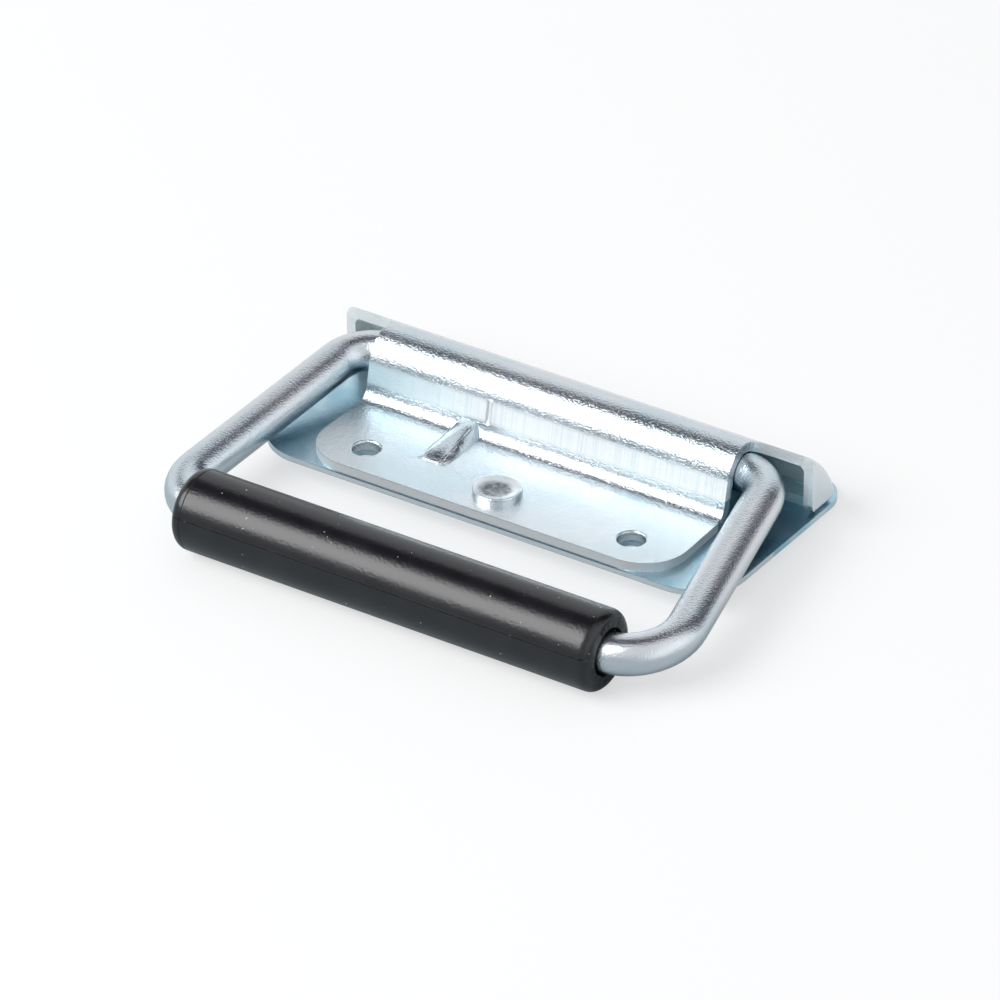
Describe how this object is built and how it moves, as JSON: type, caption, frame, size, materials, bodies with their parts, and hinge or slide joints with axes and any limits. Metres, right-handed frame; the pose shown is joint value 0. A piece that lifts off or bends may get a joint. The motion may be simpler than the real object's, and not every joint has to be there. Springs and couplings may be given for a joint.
{
  "type": "chest handle",
  "caption": "Sprung drop handle for chests and cases: zinc-plated pressed plates, a bent-rod bail and a black moulded grip.",
  "frame": {"origin": "midway between the two screw holes, on the back face of the base plate", "axes": "+X along the grip, +Y from the screw holes towards the hinge, +Z out of the chest wall"},
  "size_m": [0.1164, 0.0828, 0.0231],
  "materials": {
    "zinc_plate": "satin",
    "zinc_pressing": "satin",
    "zinc_rivet": "satin",
    "spring_wire": "satin",
    "zinc_rod": "satin",
    "black_grip": "matte"
  },
  "bodies": {
    "root": {"base_plate": "zinc_plate", "top_plate": "zinc_pressing", "rivet": "zinc_rivet", "torsion_spring": "spring_wire"},
    "bail_body": {"bail": "zinc_rod", "grip": "black_grip"}
  },
  "joints": [
    {"name": "bail_hinge", "type": "hinge", "parent": "root", "child": "bail_body", "pos_m": [0, 0.02294, 0.0097], "axis": [-1, 0, 0], "range_deg": [0, 99], "stiffness_Nm_per_rad": 0.35, "springref_deg": -34.38, "deforming": ["torsion_spring"]}
  ]
}
